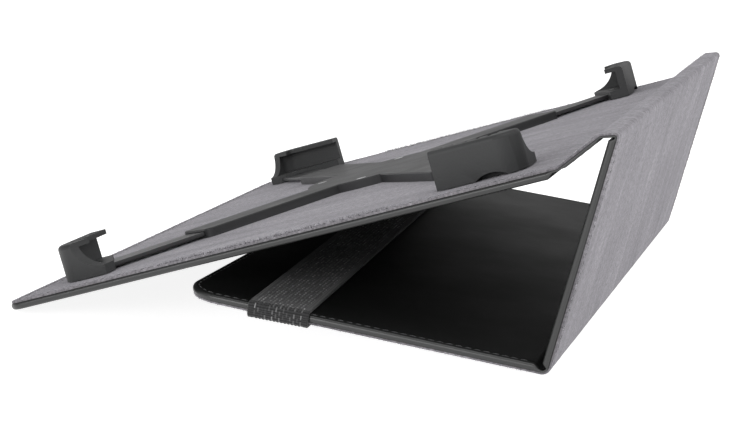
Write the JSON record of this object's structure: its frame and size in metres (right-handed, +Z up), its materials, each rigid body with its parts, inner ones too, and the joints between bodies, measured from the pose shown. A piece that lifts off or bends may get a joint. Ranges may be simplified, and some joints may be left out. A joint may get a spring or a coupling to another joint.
{
  "type": "tablet case",
  "caption": "Folio case for a tablet: padded cover that folds into a stand, sprung corner holders and an elastic closing strap.",
  "frame": {"origin": "on the surface the stand rests on, below the middle of its box", "axes": "+Z up; +Y along the fold lines, away from the near end; +X from the back panel's free edge towards the top fold"},
  "size_m": [0.2104, 0.267, 0.0794],
  "materials": {
    "leather": "matt",
    "lining": "brushed",
    "board": "plain",
    "rubber": "matt",
    "plastic": "matt",
    "elastic": "woven",
    "thread": "plain",
    "steel": "satin"
  },
  "bodies": {
    "back": {"back_leather": "leather", "back_board": "board", "back_lining": "lining", "holder_base": "plastic", "holder_cover": "plastic", "holder_screws": "steel", "holder_rivets": "steel", "spring_near_spine": "steel", "spring_far_spine": "steel", "spring_far_edge": "steel", "spring_near_edge": "steel"},
    "spine": {"spine_leather": "leather", "spine_board": "board", "spine_lining": "lining", "spine_crease": "leather"},
    "web": {"top_web": "leather"},
    "support": {"support_leather": "leather", "support_board": "board", "support_lining": "lining", "bottom_crease": "leather"},
    "cover": {"cover_leather": "leather", "cover_board": "board", "cover_lining": "lining", "elastic_strap": "elastic", "strap_tacks": "thread"},
    "holder_near_spine": {"corner_near_spine": "rubber", "arm_near_spine": "plastic", "corner_screw_near_spine": "steel"},
    "holder_far_spine": {"corner_far_spine": "rubber", "arm_far_spine": "plastic", "corner_screw_far_spine": "steel"},
    "holder_far_edge": {"corner_far_edge": "rubber", "arm_far_edge": "plastic", "corner_screw_far_edge": "steel"},
    "holder_near_edge": {"corner_near_edge": "rubber", "arm_near_edge": "plastic", "corner_screw_near_edge": "steel"}
  },
  "joints": [
    {"name": "spine_fold", "type": "hinge", "parent": "back", "child": "spine", "pos_m": [0.08615, 0, 0.06649], "axis": [0, -1, 0], "range_deg": [0, 66.42]},
    {"name": "kink_fold", "type": "hinge", "parent": "spine", "child": "web", "pos_m": [0.09884, 0, 0.07795], "axis": [0, -1, 0], "range_deg": [0, 79.1]},
    {"name": "top_fold", "type": "hinge", "parent": "web", "child": "support", "pos_m": [0.10449, 0, 0.07875], "axis": [0, -1, 0], "range_deg": [0, 156]},
    {"name": "bottom_fold", "type": "hinge", "parent": "support", "child": "cover", "pos_m": [0.08647, 0, 0.0007], "axis": [0, -1, 0], "range_deg": [0, 82.7]},
    {"name": "reach_near_spine", "type": "slide", "parent": "back", "child": "holder_near_spine", "axis": [0.5637, -0.8041, 0.1889], "range_m": [-0.008, 0.018]},
    {"name": "reach_far_spine", "type": "slide", "parent": "back", "child": "holder_far_spine", "axis": [0.5637, 0.8041, 0.1889], "range_m": [-0.008, 0.018]},
    {"name": "reach_far_edge", "type": "slide", "parent": "back", "child": "holder_far_edge", "axis": [-0.5637, 0.8041, -0.1889], "range_m": [-0.008, 0.018]},
    {"name": "reach_near_edge", "type": "slide", "parent": "back", "child": "holder_near_edge", "axis": [-0.5637, -0.8041, -0.1889], "range_m": [-0.008, 0.018]}
  ]
}
